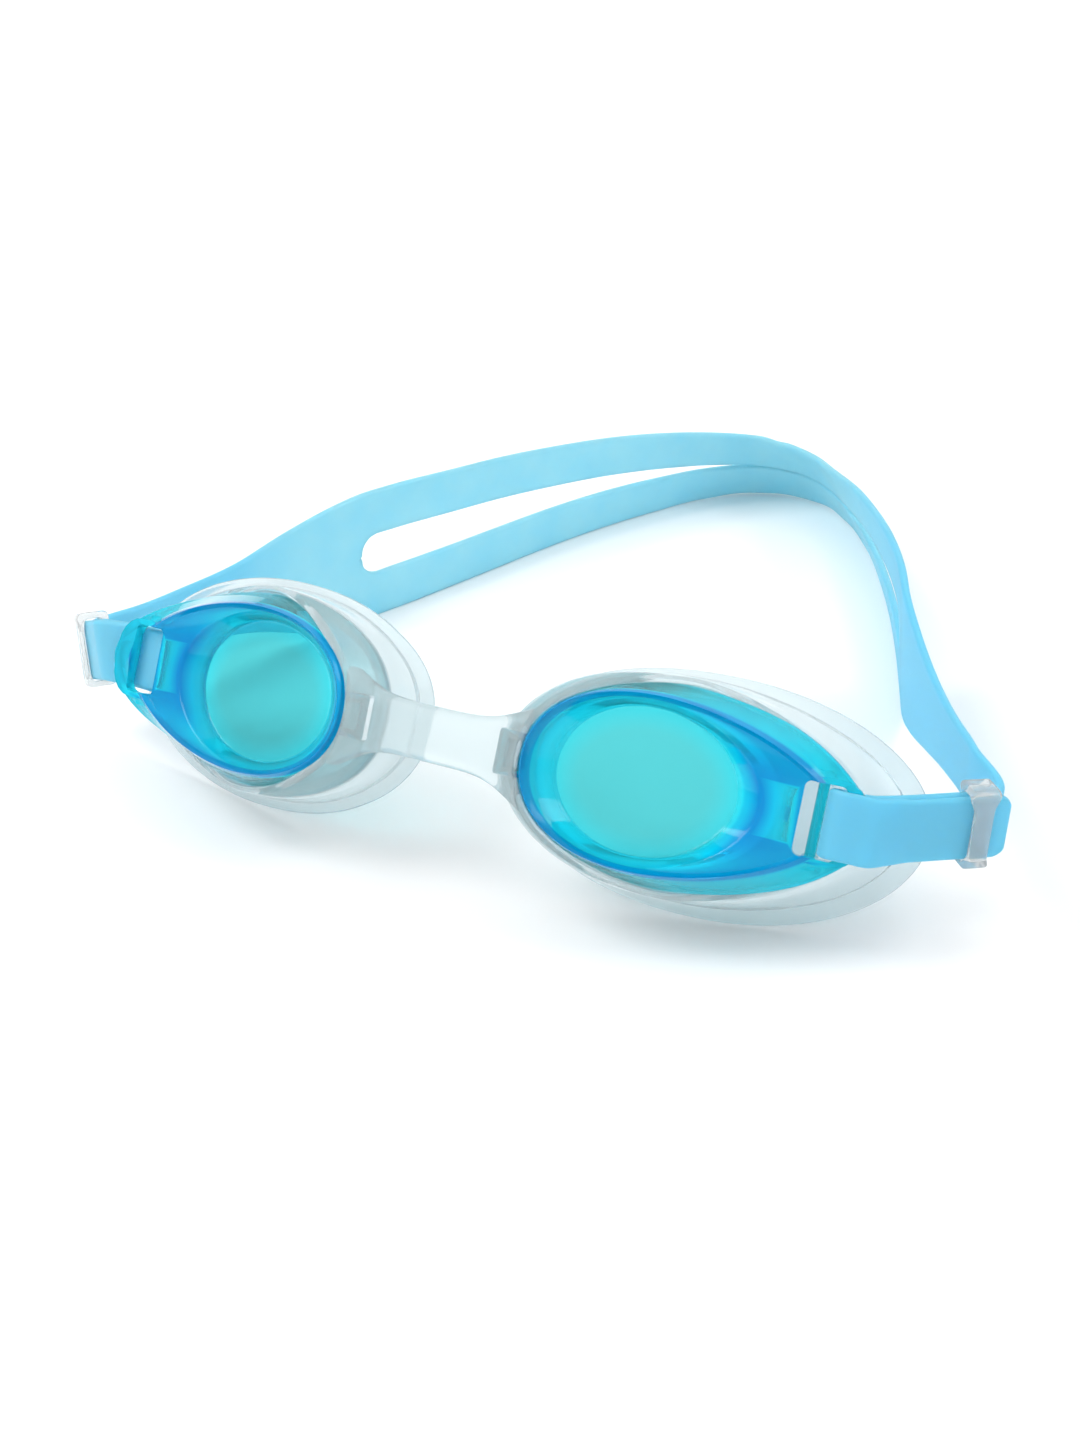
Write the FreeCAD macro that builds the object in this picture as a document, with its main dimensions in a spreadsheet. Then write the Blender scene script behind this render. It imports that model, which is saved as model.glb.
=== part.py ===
# Swim goggles: two tinted lens cups with clear soft seals, a clear nose bridge, a split
# silicone head strap threaded through a slot at each temple, and two sliding keepers.
# Millimetres.  The goggles lie on a flat surface on the lower edges of the seals and of
# the head strap, with the lenses facing forward (-Y) and tipped upward.
import FreeCAD, Part
import math
import os

Vector = FreeCAD.Vector
Rotation = FreeCAD.Rotation
Placement = FreeCAD.Placement

doc = FreeCAD.newDocument("swim_goggles")

# ---------------------------------------------------------------- driving dimensions
DIMENSIONS = {
    "lift": 33.6,                # height of the bridge centre above the surface
    "shift_side": -0.1,           # moves the model so that its origin is under its middle
    "shift_back": -104.6,
    "tip_back": 26.0,            # how far the front is tipped, lens faces up
    "wrap": 14.5,                # each cup turns round the face by this angle
    "cup_side": 39.0,            # middle of each window from the centre line
    "cup_back": 5.1,
    "rim_nose": 20.5,            # sharp front rim: reach towards the nose
    "rim_temple": 31.0,
    "rim_half": 15.5,
    "flange_nose": 26.0,         # flange behind the rim, gripped by the seal
    "flange_temple": 33.0,
    "flange_half": 18.0,
    "flange_back": 9.0,
    "window_side": 15.5,         # oval window, half width and half height
    "window_half": 13.0,
    "window_recess": 5.0,
    "window_wall": 2.0,
    "mouth_wide": 1.22,          # front of the recess against the window
    "mouth_tall": 1.08,
    "eye_wide": 1.25,            # back of the cup's hollow against the window
    "eye_tall": 1.15,
    "wing_end": 40.5,            # temple wing, with the strap's slot
    "wing_root": 22.0,
    "wing_root_half": 12.0,
    "wing_end_half": 7.6,
    "wing_thick": 3.0,
    "wing_corner": 2.5,
    "slot_inner": 28.5,
    "slot_outer": 36.0,
    "slot_half": 6.6,
    "pin_side": 31.5,            # pin across the slot, held by two cheeks behind the wing
    "pin_back": 6.0,
    "pin_radius": 1.0,
    "fold_play": 0.1,            # extra room where the strap folds
    "cheek_half": 1.8,
    "cheek_wide": 1.6,
    "cheek_back": 7.2,
    "lug_reach": 26.5,           # lug that plugs into the nose bridge
    "lug_root": 18.0,
    "lug_half": 4.0,
    "lug_front": 1.2,
    "lug_thick": 2.4,
    "seal_back": 20.0,
    "seal_nose": 25.5,
    "seal_temple": 51.0,
    "seal_top": 21.0,
    "seal_bottom": 23.5,
    "seal_wall": 2.2,
    "bridge_end": 18.0,
    "bridge_mid_half": 5.0,
    "bridge_end_half": 8.5,
    "bridge_front": 0.4,
    "bridge_back": 4.6,
    "band_width": 12.0,          # strap, where it is a single band
    "band_thick": 1.6,
    "split_band": 10.5,          # each of the two bands of the split
    "end_angle": 43.0,           # plan angle of the doubled ends, back from the side
    "end_dip_right": 5.0,        # slope of each doubled end, downward
    "end_dip_left": 24.0,
    "end_length": 25.2,          # doubled end, from the wing's tip to the tail
    "end_straight": 7.0,         # from here to the tail both layers lie flat together
    "layer_pitch": 1.8,          # spacing of the two layers in a doubled end
    "slot_play": 0.3,            # between the strap and the wing it is threaded through
    "fold_side": 36.1,           # middle of the right end's fold round the wing's bar
    "end_clear": 0.5,            # inner layer, past the keeper
    "keeper_at": 19.5,
    "keeper_long": 5.0,
    "keeper_wall": 1.4,
    "keeper_play": 0.3,
}

sheet = doc.addObject("Spreadsheet::Sheet", "Sizes")
for row, (word, value) in enumerate(DIMENSIONS.items(), start=1):
    sheet.set(f"A{row}", word)
    sheet.set(f"B{row}", str(value))
    sheet.setAlias(f"B{row}", word)
doc.recompute()


def size(word):
    """One driving dimension, read from the sheet."""
    return float(sheet.get(word))


# ---------------------------------------------------------------- frames
# The front frame has its origin at the bridge centre, X to the side, Y back and Z up
# along the lens faces.  It is tipped and lifted to stand on the surface.
STAND = Placement(Vector(size("shift_side"), size("shift_back"), size("lift")),
                  Rotation(Vector(1, 0, 0), -size("tip_back")))
SURFACE = Placement(Vector(size("shift_side"), size("shift_back"), 0), Rotation())


def cup_frame(side):
    """Frame of one cup: X from nose to temple on the right cup, Y back, Z up."""
    turn = Rotation(Vector(0, 0, 1), side * size("wrap"))
    return STAND * Placement(Vector(side * size("cup_side"), size("cup_back"), 0), turn)


# ---------------------------------------------------------------- sketch helpers
def origin_plane(body, role):
    """One of a body's own origin planes, found by its role."""
    for item in body.Origin.OriginFeatures:
        if item.Role == role:
            return item
    raise RuntimeError("no plane " + role)


def face_sketch(body, name, depth):
    """Sketch parallel to the lens face; depth is a size word, or None at the face."""
    sketch = body.newObject("Sketcher::SketchObject", name)
    sketch.AttachmentSupport = [(origin_plane(body, "XZ_Plane"), "")]
    sketch.MapMode = "FlatFace"
    if depth:
        sketch.setExpression("AttachmentOffset.Base.z", "-(" + depth + ")")
    return sketch


def egg(nose, temple, top, bottom, middle, power):
    """Points of a closed egg outline: superellipse halves that meet at the middle."""
    points = []
    steps = 24
    for step in range(steps):
        angle = 2 * math.pi * step / steps
        across = math.cos(angle)
        upward = math.sin(angle)
        reach = temple - middle if across > 0 else middle + nose
        height = top if upward > 0 else bottom
        x = middle + reach * math.copysign(abs(across) ** (2 / power), across)
        z = height * math.copysign(abs(upward) ** (2 / power), upward)
        points.append((x, z))
    return points


def draw_closed_curve(sketch, points, side):
    """One closed smooth curve through points of the right cup, mirrored by side."""
    curve = Part.BSplineCurve()
    curve.interpolate([Vector(side * x, z, 0) for x, z in points], PeriodicFlag=True)
    sketch.addGeometry(curve, False)


def draw_polygon(sketch, points):
    """Closed outline of straight edges."""
    for start, end in zip(points, points[1:] + points[:1]):
        sketch.addGeometry(Part.LineSegment(Vector(*start, 0), Vector(*end, 0)), False)


def cut_volume(body, feature, before):
    """A cut has to remove material; stop if it points away from the solid."""
    doc.recompute()
    if body.Shape.Volume > before - 1.0:
        raise RuntimeError(feature.Name + " cuts nothing")


# ---------------------------------------------------------------- lens cups
def make_lens(label, side):
    """Tinted cup: front rim, oval window set back in it, flange, wing, slot and lug."""
    body = doc.addObject("PartDesign::Body", label)
    body.Label = label
    rim = egg(size("rim_nose"), size("rim_temple"), size("rim_half"), size("rim_half"), 2, 2)
    flange = egg(size("flange_nose"), size("flange_temple"), size("flange_half"),
                 size("flange_half"), 2, 2)
    window = egg(size("window_side"), size("window_side"), size("window_half"),
                 size("window_half"), 0, 2)
    mouth = [(x * size("mouth_wide"), z * size("mouth_tall")) for x, z in window]
    eye = [(x * size("eye_wide"), z * size("eye_tall")) for x, z in window]

    rim_sketch = face_sketch(body, label + "_rim", None)
    draw_closed_curve(rim_sketch, rim, side)
    flange_sketch = face_sketch(body, label + "_flange", "Sizes.flange_back")
    draw_closed_curve(flange_sketch, flange, side)
    cup = body.newObject("PartDesign::AdditiveLoft", label + "_cup")
    cup.Profile = rim_sketch
    cup.Sections = [flange_sketch]
    doc.recompute()

    wing_sketch = face_sketch(body, label + "_wing", None)
    root, end = size("wing_root"), size("wing_end")
    root_half, end_half = size("wing_root_half"), size("wing_end_half")
    corner = size("wing_corner")
    draw_polygon(wing_sketch, [(side * x, z) for x, z in (
        (root, -root_half), (end - corner, -end_half), (end, -end_half + corner),
        (end, end_half - corner), (end - corner, end_half), (root, root_half))])
    wing = body.newObject("PartDesign::Pad", label + "_wing_pad")
    wing.Profile = wing_sketch
    wing.Reversed = True
    wing.setExpression("Length", "Sizes.wing_thick")
    doc.recompute()

    lug_sketch = face_sketch(body, label + "_lug", "Sizes.lug_front")
    reach, root, half = size("lug_reach"), size("lug_root"), size("lug_half")
    draw_polygon(lug_sketch, [(-side * reach, -half), (-side * root, -half),
                              (-side * root, half), (-side * reach, half)])
    lug = body.newObject("PartDesign::Pad", label + "_lug_pad")
    lug.Profile = lug_sketch
    lug.Reversed = True
    lug.setExpression("Length", "Sizes.lug_thick")
    doc.recompute()

    before = body.Shape.Volume
    mouth_sketch = face_sketch(body, label + "_mouth", None)
    draw_closed_curve(mouth_sketch, mouth, side)
    pane_sketch = face_sketch(body, label + "_pane", "Sizes.window_recess")
    draw_closed_curve(pane_sketch, window, side)
    recess = body.newObject("PartDesign::SubtractiveLoft", label + "_recess")
    recess.Profile = mouth_sketch
    recess.Sections = [pane_sketch]
    cut_volume(body, recess, before)

    before = body.Shape.Volume
    inner_sketch = face_sketch(body, label + "_inner",
                               "Sizes.window_recess + Sizes.window_wall")
    draw_closed_curve(inner_sketch, window, side)
    eye_sketch = face_sketch(body, label + "_eye", "Sizes.flange_back")
    draw_closed_curve(eye_sketch, eye, side)
    hollow = body.newObject("PartDesign::SubtractiveLoft", label + "_hollow")
    hollow.Profile = inner_sketch
    hollow.Sections = [eye_sketch]
    cut_volume(body, hollow, before)

    before = body.Shape.Volume
    slot_sketch = face_sketch(body, label + "_slot", None)
    near, far, half = size("slot_inner"), size("slot_outer"), size("slot_half")
    draw_polygon(slot_sketch, [(side * near, -half), (side * far, -half),
                               (side * far, half), (side * near, half)])
    slot = body.newObject("PartDesign::Pocket", label + "_slot_cut")
    slot.Profile = slot_sketch
    slot.Type = "Length"
    slot.Reversed = False
    slot.setExpression("Length", "Sizes.flange_back + 2")
    cut_volume(body, slot, before)
    add_pin(body, label, side)

    body.Placement = cup_frame(side)
    return body


def add_pin(body, label, side):
    """Pin across the slot, on two cheeks behind the wing, for a strap threaded behind."""
    inner = size("slot_half")
    outer = inner + size("cheek_wide")
    near = size("pin_side") - size("cheek_half")
    far = size("pin_side") + size("cheek_half")
    cheek_sketch = face_sketch(body, label + "_cheeks", None)
    for low, high in ((inner, outer), (-outer, -inner)):
        draw_polygon(cheek_sketch, [(side * near, low), (side * far, low),
                                    (side * far, high), (side * near, high)])
    cheeks = body.newObject("PartDesign::Pad", label + "_cheek_pad")
    cheeks.Profile = cheek_sketch
    cheeks.Reversed = True
    cheeks.setExpression("Length", "Sizes.cheek_back")

    pin_sketch = body.newObject("Sketcher::SketchObject", label + "_pin")
    pin_sketch.AttachmentSupport = [(origin_plane(body, "XY_Plane"), "")]
    pin_sketch.MapMode = "FlatFace"
    middle = Vector(side * size("pin_side"), size("pin_back"), 0)
    circle = Part.Circle(middle, Vector(0, 0, 1), size("pin_radius"))
    pin_sketch.addGeometry(circle, False)
    pin = body.newObject("PartDesign::Pad", label + "_pin_pad")
    pin.Profile = pin_sketch
    pin.Midplane = True
    pin.setExpression("Length", "2 * Sizes.slot_half + Sizes.cheek_wide")
    doc.recompute()


# ---------------------------------------------------------------- seals
def make_seal(label, side):
    """Clear soft skirt that flares back from the flange to the wearer's face."""
    body = doc.addObject("PartDesign::Body", label)
    body.Label = label
    wall = size("seal_wall")
    front = egg(size("flange_nose"), size("flange_temple"), size("flange_half"),
                size("flange_half"), 2, 2)
    back = egg(size("seal_nose"), size("seal_temple"), size("seal_top"),
               size("seal_bottom"), 10, 2.2)
    front_hole = egg(size("window_side") * 1.25, size("window_side") * 1.25,
                     size("window_half") * 1.15, size("window_half") * 1.15, 0, 2)
    back_hole = egg(size("seal_nose") - wall, size("seal_temple") - wall,
                    size("seal_top") - wall, size("seal_bottom") - wall, 10, 2.2)

    outer = body.newObject("PartDesign::AdditiveLoft", label + "_skirt")
    front_sketch = face_sketch(body, label + "_front", "Sizes.flange_back")
    draw_closed_curve(front_sketch, front, side)
    back_sketch = face_sketch(body, label + "_back", "Sizes.seal_back")
    draw_closed_curve(back_sketch, back, side)
    outer.Profile = front_sketch
    outer.Sections = [back_sketch]
    doc.recompute()

    before = body.Shape.Volume
    hole_front = face_sketch(body, label + "_hole_front", "Sizes.flange_back")
    draw_closed_curve(hole_front, front_hole, side)
    hole_back = face_sketch(body, label + "_hole_back", "Sizes.seal_back")
    draw_closed_curve(hole_back, back_hole, side)
    inner = body.newObject("PartDesign::SubtractiveLoft", label + "_eye_space")
    inner.Profile = hole_front
    inner.Sections = [hole_back]
    cut_volume(body, inner, before)
    body.Placement = cup_frame(side)
    return body


# ---------------------------------------------------------------- nose bridge
def make_bridge(cups):
    """Clear soft bar between the cups, waisted in the middle and moulded on their lugs."""
    body = doc.addObject("PartDesign::Body", "bridge_blank")
    sketch = face_sketch(body, "bridge_outline", "Sizes.bridge_front")
    end, end_half = size("bridge_end"), size("bridge_end_half")
    waist, waist_half = end * 0.45, size("bridge_mid_half")
    draw_polygon(sketch, [(-end, -end_half), (-waist, -waist_half), (waist, -waist_half),
                          (end, -end_half), (end, end_half), (waist, waist_half),
                          (-waist, waist_half), (-end, end_half)])
    bar = body.newObject("PartDesign::Pad", "bridge_bar")
    bar.Profile = sketch
    bar.Reversed = True
    bar.setExpression("Length", "Sizes.bridge_back - Sizes.bridge_front")
    body.Placement = STAND
    both_cups = doc.addObject("Part::Fuse", "cups_for_bridge")
    both_cups.Base, both_cups.Tool = cups
    bridge = doc.addObject("Part::Cut", "nose_bridge")
    bridge.Base = body
    bridge.Tool = both_cups
    bridge.Label = "nose_bridge"
    return bridge


# ---------------------------------------------------------------- strap
def ribbon(stations, thick):
    """Flat band lofted through stations, each (middle, height direction, width)."""
    wires = []
    last = len(stations) - 1
    for index, (middle, height, width) in enumerate(stations):
        ahead = stations[min(index + 1, last)][0] - stations[max(index - 1, 0)][0]
        height = Vector(height).normalize()
        across = ahead.cross(height).normalize()
        corners = [middle + height * (a * width / 2) + across * (b * thick / 2)
                   for a, b in ((1, 1), (1, -1), (-1, -1), (-1, 1))]
        wires.append(Part.makePolygon(corners + corners[:1]))
    return Part.makeLoft(wires, True, True)


def end_frame(side):
    """Wing tip, direction of the doubled end, its height, and the way to the inner layer."""
    play = size("slot_play") + size("band_thick") / 2
    tip = cup_frame(side).multVec(Vector(side * (size("wing_end") + play), -play, 0))
    plan = math.radians(size("end_angle"))
    dip = math.radians(size("end_dip_right") if side > 0 else size("end_dip_left"))
    along = Vector(side * math.cos(plan) * math.cos(dip), math.sin(plan) * math.cos(dip),
                   -math.sin(dip))
    inward = Vector(-side * math.sin(plan), math.cos(plan), 0)
    height = along.cross(inward) * side
    return tip, along, height.normalize(), inward


def arc(centre_x, centre_y, radius):
    """Half turn from in front of a centre round its nose side to behind it."""
    turns = [math.radians(angle) for angle in range(90, 271, 30)]
    return [(centre_x + radius * math.cos(turn), centre_y - radius * math.sin(turn))
            for turn in turns]


def make_strap_end(label, side):
    """End of the strap, from its tail to the keeper's far side by way of the slot.

    The right end lies over the wing and folds round its outer bar.  The left end stays
    behind the wing and folds round the pin."""
    frame = cup_frame(side)
    tip, along, height, inward = end_frame(side)
    upright = STAND.Rotation.multVec(Vector(0, 0, 1))
    width, thick = size("band_width"), size("band_thick")
    play, wing = size("slot_play"), size("wing_thick")
    straight, tail = size("end_straight"), size("end_length")
    keeper_half = size("keeper_long") / 2
    inner_end = size("keeper_at") + keeper_half + size("end_clear")
    near_tip = size("wing_end") - 1.0

    stations = [(tip + along * tail, height, width),
                (tip + along * straight, height, width)]
    if side > 0:
        stations += [(tip + along * (straight / 2), (height + upright), width),
                     (tip, upright, width)]
        radius = wing / 2 + play + thick / 2
        spots = arc(size("fold_side"), wing / 2, radius)
        spots.append((near_tip, wing / 2 + radius + size("fold_play")))
    else:
        radius = size("pin_radius") + size("fold_play") + thick / 2
        pin_back = size("pin_back")
        spots = [(near_tip, pin_back - radius)]
        spots += arc(size("pin_side"), pin_back, radius)
        spots.append((near_tip - 1.5, pin_back + radius))
    for x, y in spots:
        stations.append((frame.multVec(Vector(side * x, y, 0)), upright, width))
    offset = inward * size("layer_pitch")
    stations.append((tip + along * straight + offset, height, width))
    stations.append((tip + along * inner_end + offset, height, width))
    piece = doc.addObject("Part::Feature", label)
    piece.Label = label
    piece.Shape = ribbon(stations, thick)
    return piece


def make_keeper(label, side):
    """Clear rectangular loop that holds the two layers of a strap end together."""
    tip, along, height, inward = end_frame(side)
    play, wall = size("keeper_play"), size("keeper_wall")
    body = doc.addObject("PartDesign::Body", label)
    body.Label = label
    sketch = body.newObject("Sketcher::SketchObject", label + "_loop")
    sketch.AttachmentSupport = [(origin_plane(body, "XY_Plane"), "")]
    sketch.MapMode = "FlatFace"
    half_deep = (size("layer_pitch") + size("band_thick")) / 2 + play
    half_tall = size("band_width") / 2 + play
    for grow in (wall, 0):
        x, y = half_deep + grow, half_tall + grow
        draw_polygon(sketch, [(-x, -y), (x, -y), (x, y), (-x, y)])
    loop = body.newObject("PartDesign::Pad", label + "_pad")
    loop.Profile = sketch
    loop.setExpression("Length", "Sizes.keeper_long")
    middle = tip + along * (size("keeper_at") - size("keeper_long") / 2)
    middle = middle + inward * (size("layer_pitch") / 2)
    turn = Rotation(height.cross(along), height, along, "ZYX")
    body.Placement = Placement(middle, turn)
    return body


# Head strap, from the left keeper round the back to the right one: the lower edge's place
# to the side and back, its height above the surface, the band's width, and the lean of
# its upper edge into the loop, in degrees.
LEFT_STRETCH = [(-91.5, 37, 13.2, 5.0, 0), (-90.5, 41, 11.7, 12.0, 0),
                (-88.0, 52, 10.9, 12.6, 0), (-84.5, 66, 8, 16.0, 0),
                (-80.5, 80, 3.8, 23.0, 0), (-76.5, 91, 1, 28.0, 0),
                (-73.5, 99, 0, 30.0, 0)]
SPLIT_STRETCH = [(-73.5, 99, 0, 30.0, 0), (-70, 108, 0, 30.0, 0),
                 (-65, 123, 0, 29.5, 3), (-60, 139, 0, 28.5, 5),
                 (-55, 155, 0, 27.0, 8), (-49, 171, 0, 25.5, 12),
                 (-42, 186, 0, 24.0, 18), (-34, 200, 0, 22.6, 25),
                 (-25, 209, 0, 21.8, 30), (-16, 212, 0, 21.5, 33),
                 (-7, 210.5, 0, 21.5, 33), (4, 202, 0, 22.2, 30),
                 (14, 189, 0, 23.6, 26), (25, 170, 0, 25.5, 18),
                 (34, 152, 0, 27.5, 12), (42, 134, 0, 29.2, 7),
                 (49, 117, 0, 30.0, 4)]
RIGHT_STRETCH = [(49, 117, 0, 30.0, 4), (53, 107, 0.8, 28.2, 3),
                 (59.5, 93, 4.8, 22.5, 1), (68, 77, 10.4, 16.5, 0),
                 (77, 61, 15.6, 12.8, 0), (85, 47.5, 18, 12.0, 0),
                 (87.5, 43.5, 21.6, 5.0, 0)]


def strap_stations(route):
    """Lower edge point, direction across the band and width at each point of a route."""
    result = []
    last = len(route) - 1
    for index, (x, y, z, width, lean) in enumerate(route):
        before, after = route[max(index - 1, 0)], route[min(index + 1, last)]
        travel = Vector(after[0] - before[0], after[1] - before[1], 0).normalize()
        into_loop = Vector(travel.y, -travel.x, 0)
        tilt = math.radians(lean)
        height = Vector(0, 0, math.cos(tilt)) + into_loop * math.sin(tilt)
        foot = z + size("band_thick") / 2 * math.sin(tilt)
        result.append((Vector(x, y, foot), height, width))
    return result


def strap_run(route, low_share, high_share, inset):
    """Ribbon between two shares of the band's width; inset keeps a fixed band width."""
    stations = []
    for edge, height, width in strap_stations(route):
        low = low_share * (width - inset)
        high = inset + high_share * (width - inset)
        stations.append((edge + height * ((low + high) / 2), height, high - low))
    return ribbon(stations, size("band_thick"))


def make_strap():
    """Head strap: a wide band at each side that divides into two round the back."""
    band = size("split_band")
    pieces = [strap_run(LEFT_STRETCH, 0, 1, 0), strap_run(RIGHT_STRETCH, 0, 1, 0),
              strap_run(SPLIT_STRETCH, 0, 0, band), strap_run(SPLIT_STRETCH, 1, 1, band)]
    whole = pieces[0].multiFuse(pieces[1:]).removeSplitter()
    strap = doc.addObject("Part::Feature", "strap")
    strap.Label = "strap"
    strap.Shape = whole
    strap.Placement = SURFACE
    return strap


# ---------------------------------------------------------------- build and write
lenses = [make_lens("lens_right", 1), make_lens("lens_left", -1)]
seals = [make_seal("seal_right", 1), make_seal("seal_left", -1)]
bridge = make_bridge(lenses)
ends = [make_strap_end("strap_end_right", 1), make_strap_end("strap_end_left", -1)]
keepers = [make_keeper("keeper_right", 1), make_keeper("keeper_left", -1)]
nodes = lenses + seals + [bridge] + ends + keepers + [make_strap()]
doc.recompute()

for item in doc.Objects:
    if "Invalid" in item.State or "Error" in item.State:
        raise RuntimeError("failed object " + item.Name)
os.makedirs("parts", exist_ok=True)
for item in nodes:
    shape = item.Shape
    if shape.isNull() or not shape.isValid():
        raise RuntimeError("bad shape " + item.Label)
    print(item.Label, len(shape.Solids), "solid", round(shape.Volume), "mm3", shape.BoundBox)
    shape.exportStep("parts/" + item.Label + ".step")
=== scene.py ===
# %% [markdown]
# # Swim goggles
# A pair of goggles is two hard tinted cups, soft clear seals that meet the face, a soft
# nose bridge, a silicone strap and two small keepers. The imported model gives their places,
# sizes and motion. Here each piece gets its finished shape and its material.

# %% The fixed frame
import math
import bmesh
import bpy
import numpy as np
from mathutils import Matrix, kdtree


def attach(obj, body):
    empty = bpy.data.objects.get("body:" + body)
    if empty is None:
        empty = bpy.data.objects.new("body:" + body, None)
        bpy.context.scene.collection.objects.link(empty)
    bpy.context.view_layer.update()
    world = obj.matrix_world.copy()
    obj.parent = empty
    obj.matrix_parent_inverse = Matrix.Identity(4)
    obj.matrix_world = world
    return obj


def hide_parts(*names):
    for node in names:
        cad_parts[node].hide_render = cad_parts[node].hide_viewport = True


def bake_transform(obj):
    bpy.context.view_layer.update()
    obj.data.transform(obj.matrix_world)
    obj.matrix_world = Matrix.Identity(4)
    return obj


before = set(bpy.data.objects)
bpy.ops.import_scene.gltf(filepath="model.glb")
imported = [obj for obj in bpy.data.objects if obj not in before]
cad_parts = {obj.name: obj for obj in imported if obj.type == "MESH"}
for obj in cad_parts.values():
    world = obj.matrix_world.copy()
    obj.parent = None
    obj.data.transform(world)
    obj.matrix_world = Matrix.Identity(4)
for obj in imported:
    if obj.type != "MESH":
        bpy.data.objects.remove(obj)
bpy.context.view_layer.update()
MM = 0.001

# %% [markdown]
# ## One place for the front
# The cups, seals and bridge are easiest to draw as a wearer sees them: x to the side, y
# back towards the face and z up along the lenses. One function then tips that drawing back
# by 26 degrees and lifts it on to the floor, and mirrors it for the left side.

# %% From drawing to floor
TIP_BACK = math.radians(26)
LIFT, SHIFT_SIDE, SHIFT_BACK = 33.6, -0.1, -104.6


def stand(points, side=1):
    """Drawing points, right side, in millimetres, to their place on the floor."""
    x, y, z = np.asarray(points, float).T
    return np.stack([side * x + SHIFT_SIDE,
                     y * math.cos(TIP_BACK) + z * math.sin(TIP_BACK) + SHIFT_BACK,
                     z * math.cos(TIP_BACK) - y * math.sin(TIP_BACK) + LIFT], axis=1)


def ramp(value, start, end):
    """0 before start, 1 after end, and a smooth step between them."""
    share = np.clip((np.asarray(value, float) - start) / (end - start), 0, 1)
    return share * share * (3 - 2 * share)


def wrap(x):
    """How far back the lens face lies at x: it curves round the face, then runs flat."""
    curve = 0.101 * (x - 19) + 0.00317 * (x - 19) ** 2
    flat = 5.25 + 0.2586 * (x - 39)
    soft = 0.35
    return -soft * np.log(np.exp(-curve / soft) + np.exp(-flat / soft))


print("face of the lens is", round(float(wrap(78)), 1), "mm back at the wing")

# %% [markdown]
# ## Lofting from egg-shaped rings
# Every moulded part of the front is egg-shaped: round at the nose and drawn out at the
# temple. So one ring function serves the cup, its window and the seal. A solid is a stack
# of such rings, joined by quads, and each stop may be rounded like a moulded corner.

# %% Rings, corners and skins
RING_POINTS = 144
TURN = np.linspace(0, 2 * math.pi, RING_POINTS, endpoint=False)


def egg(nose, temple, middle, top, bottom, nose_power, temple_power, depth):
    """Egg-shaped ring; depth behind the lens face, in millimetres, may vary with x."""
    across, upward = np.cos(TURN), np.sin(TURN)
    power = np.where(across < 0, nose_power, temple_power)
    reach = np.where(across < 0, middle - nose, temple - middle)
    height = np.where(upward < 0, bottom, top)
    x = middle + reach * np.sign(across) * np.abs(across) ** (2 / power)
    z = height * np.sign(upward) * np.abs(upward) ** (2 / power)
    back = depth(x) if callable(depth) else depth
    return np.stack([x, wrap(x) + back, z], axis=1)


def rounded(rings, radii, closed=False, steps=4):
    """The rings with the corner at each one softened over its radius."""
    result = []
    count = len(rings)
    for index, radius in enumerate(radii):
        here = rings[index]
        if not closed and index in (0, count - 1) or radius == 0:
            result.append(here)
            continue
        before, after = rings[index - 1] - here, rings[(index + 1) % count] - here
        length_before = np.linalg.norm(before, axis=1, keepdims=True) + 1e-9
        length_after = np.linalg.norm(after, axis=1, keepdims=True) + 1e-9
        start = here + before * np.minimum(radius / length_before, 0.48)
        end = here + after * np.minimum(radius / length_after, 0.48)
        for t in np.linspace(0, 1, steps):
            result.append((1 - t) ** 2 * start + 2 * t * (1 - t) * here + t * t * end)
    return result


def piece(name, points, faces, smooth_angle=38):
    """A mesh object from points in millimetres on the floor, smooth apart from real edges."""
    mesh = bpy.data.meshes.new(name)
    mesh.from_pydata([tuple(p) for p in np.asarray(points) * MM], [], faces)
    mesh.validate()
    made = bpy.data.objects.new(name, mesh)
    bpy.context.scene.collection.objects.link(made)
    tidy_mesh(made, smooth_angle)
    return made


def tidy_mesh(made, smooth_angle):
    """Faces outward, smooth shading, and sharp edges where the surface really turns."""
    work = bmesh.new()
    work.from_mesh(made.data)
    bmesh.ops.remove_doubles(work, verts=work.verts, dist=1e-6)
    bmesh.ops.recalc_face_normals(work, faces=work.faces)
    work.to_mesh(made.data)
    work.free()
    made.data.polygons.foreach_set("use_smooth", [True] * len(made.data.polygons))
    made.data.set_sharp_from_angle(angle=math.radians(smooth_angle))


def quads(rows, columns, close_rows=False):
    """Faces between rows of points that close on themselves."""
    faces = []
    for row in range(rows if close_rows else rows - 1):
        low, high = row * columns, (row + 1) % rows * columns
        for column in range(columns):
            ahead = (column + 1) % columns
            faces.append((low + column, low + ahead, high + ahead, high + column))
    return faces


def combine(made, tool, way):
    """Joins the tool's shape to a piece or takes it out, and drops the tool."""
    step = made.modifiers.new("combine", "BOOLEAN")
    step.operation, step.solver, step.object = way, "EXACT", tool
    bpy.context.view_layer.update()
    ready = made.evaluated_get(bpy.context.evaluated_depsgraph_get())
    old, made.data = made.data, bpy.data.meshes.new_from_object(ready)
    made.modifiers.clear()
    bpy.data.meshes.remove(old)
    bpy.data.objects.remove(tool)


def mark_points(made, name, points, values, far=math.inf, far_value=0.0):
    """Stores a value at each vertex: that of the nearest point, or far_value if none is near."""
    tree = kdtree.KDTree(len(points))
    for index, point in enumerate(points):
        tree.insert(point * MM, index)
    tree.balance()
    found = [tree.find(vertex.co) for vertex in made.data.vertices]
    mark = made.data.attributes.new(name, "FLOAT", "POINT")
    mark.data.foreach_set("value", [values[index] if away < far * MM else far_value
                                    for _, index, away in found])


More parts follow.
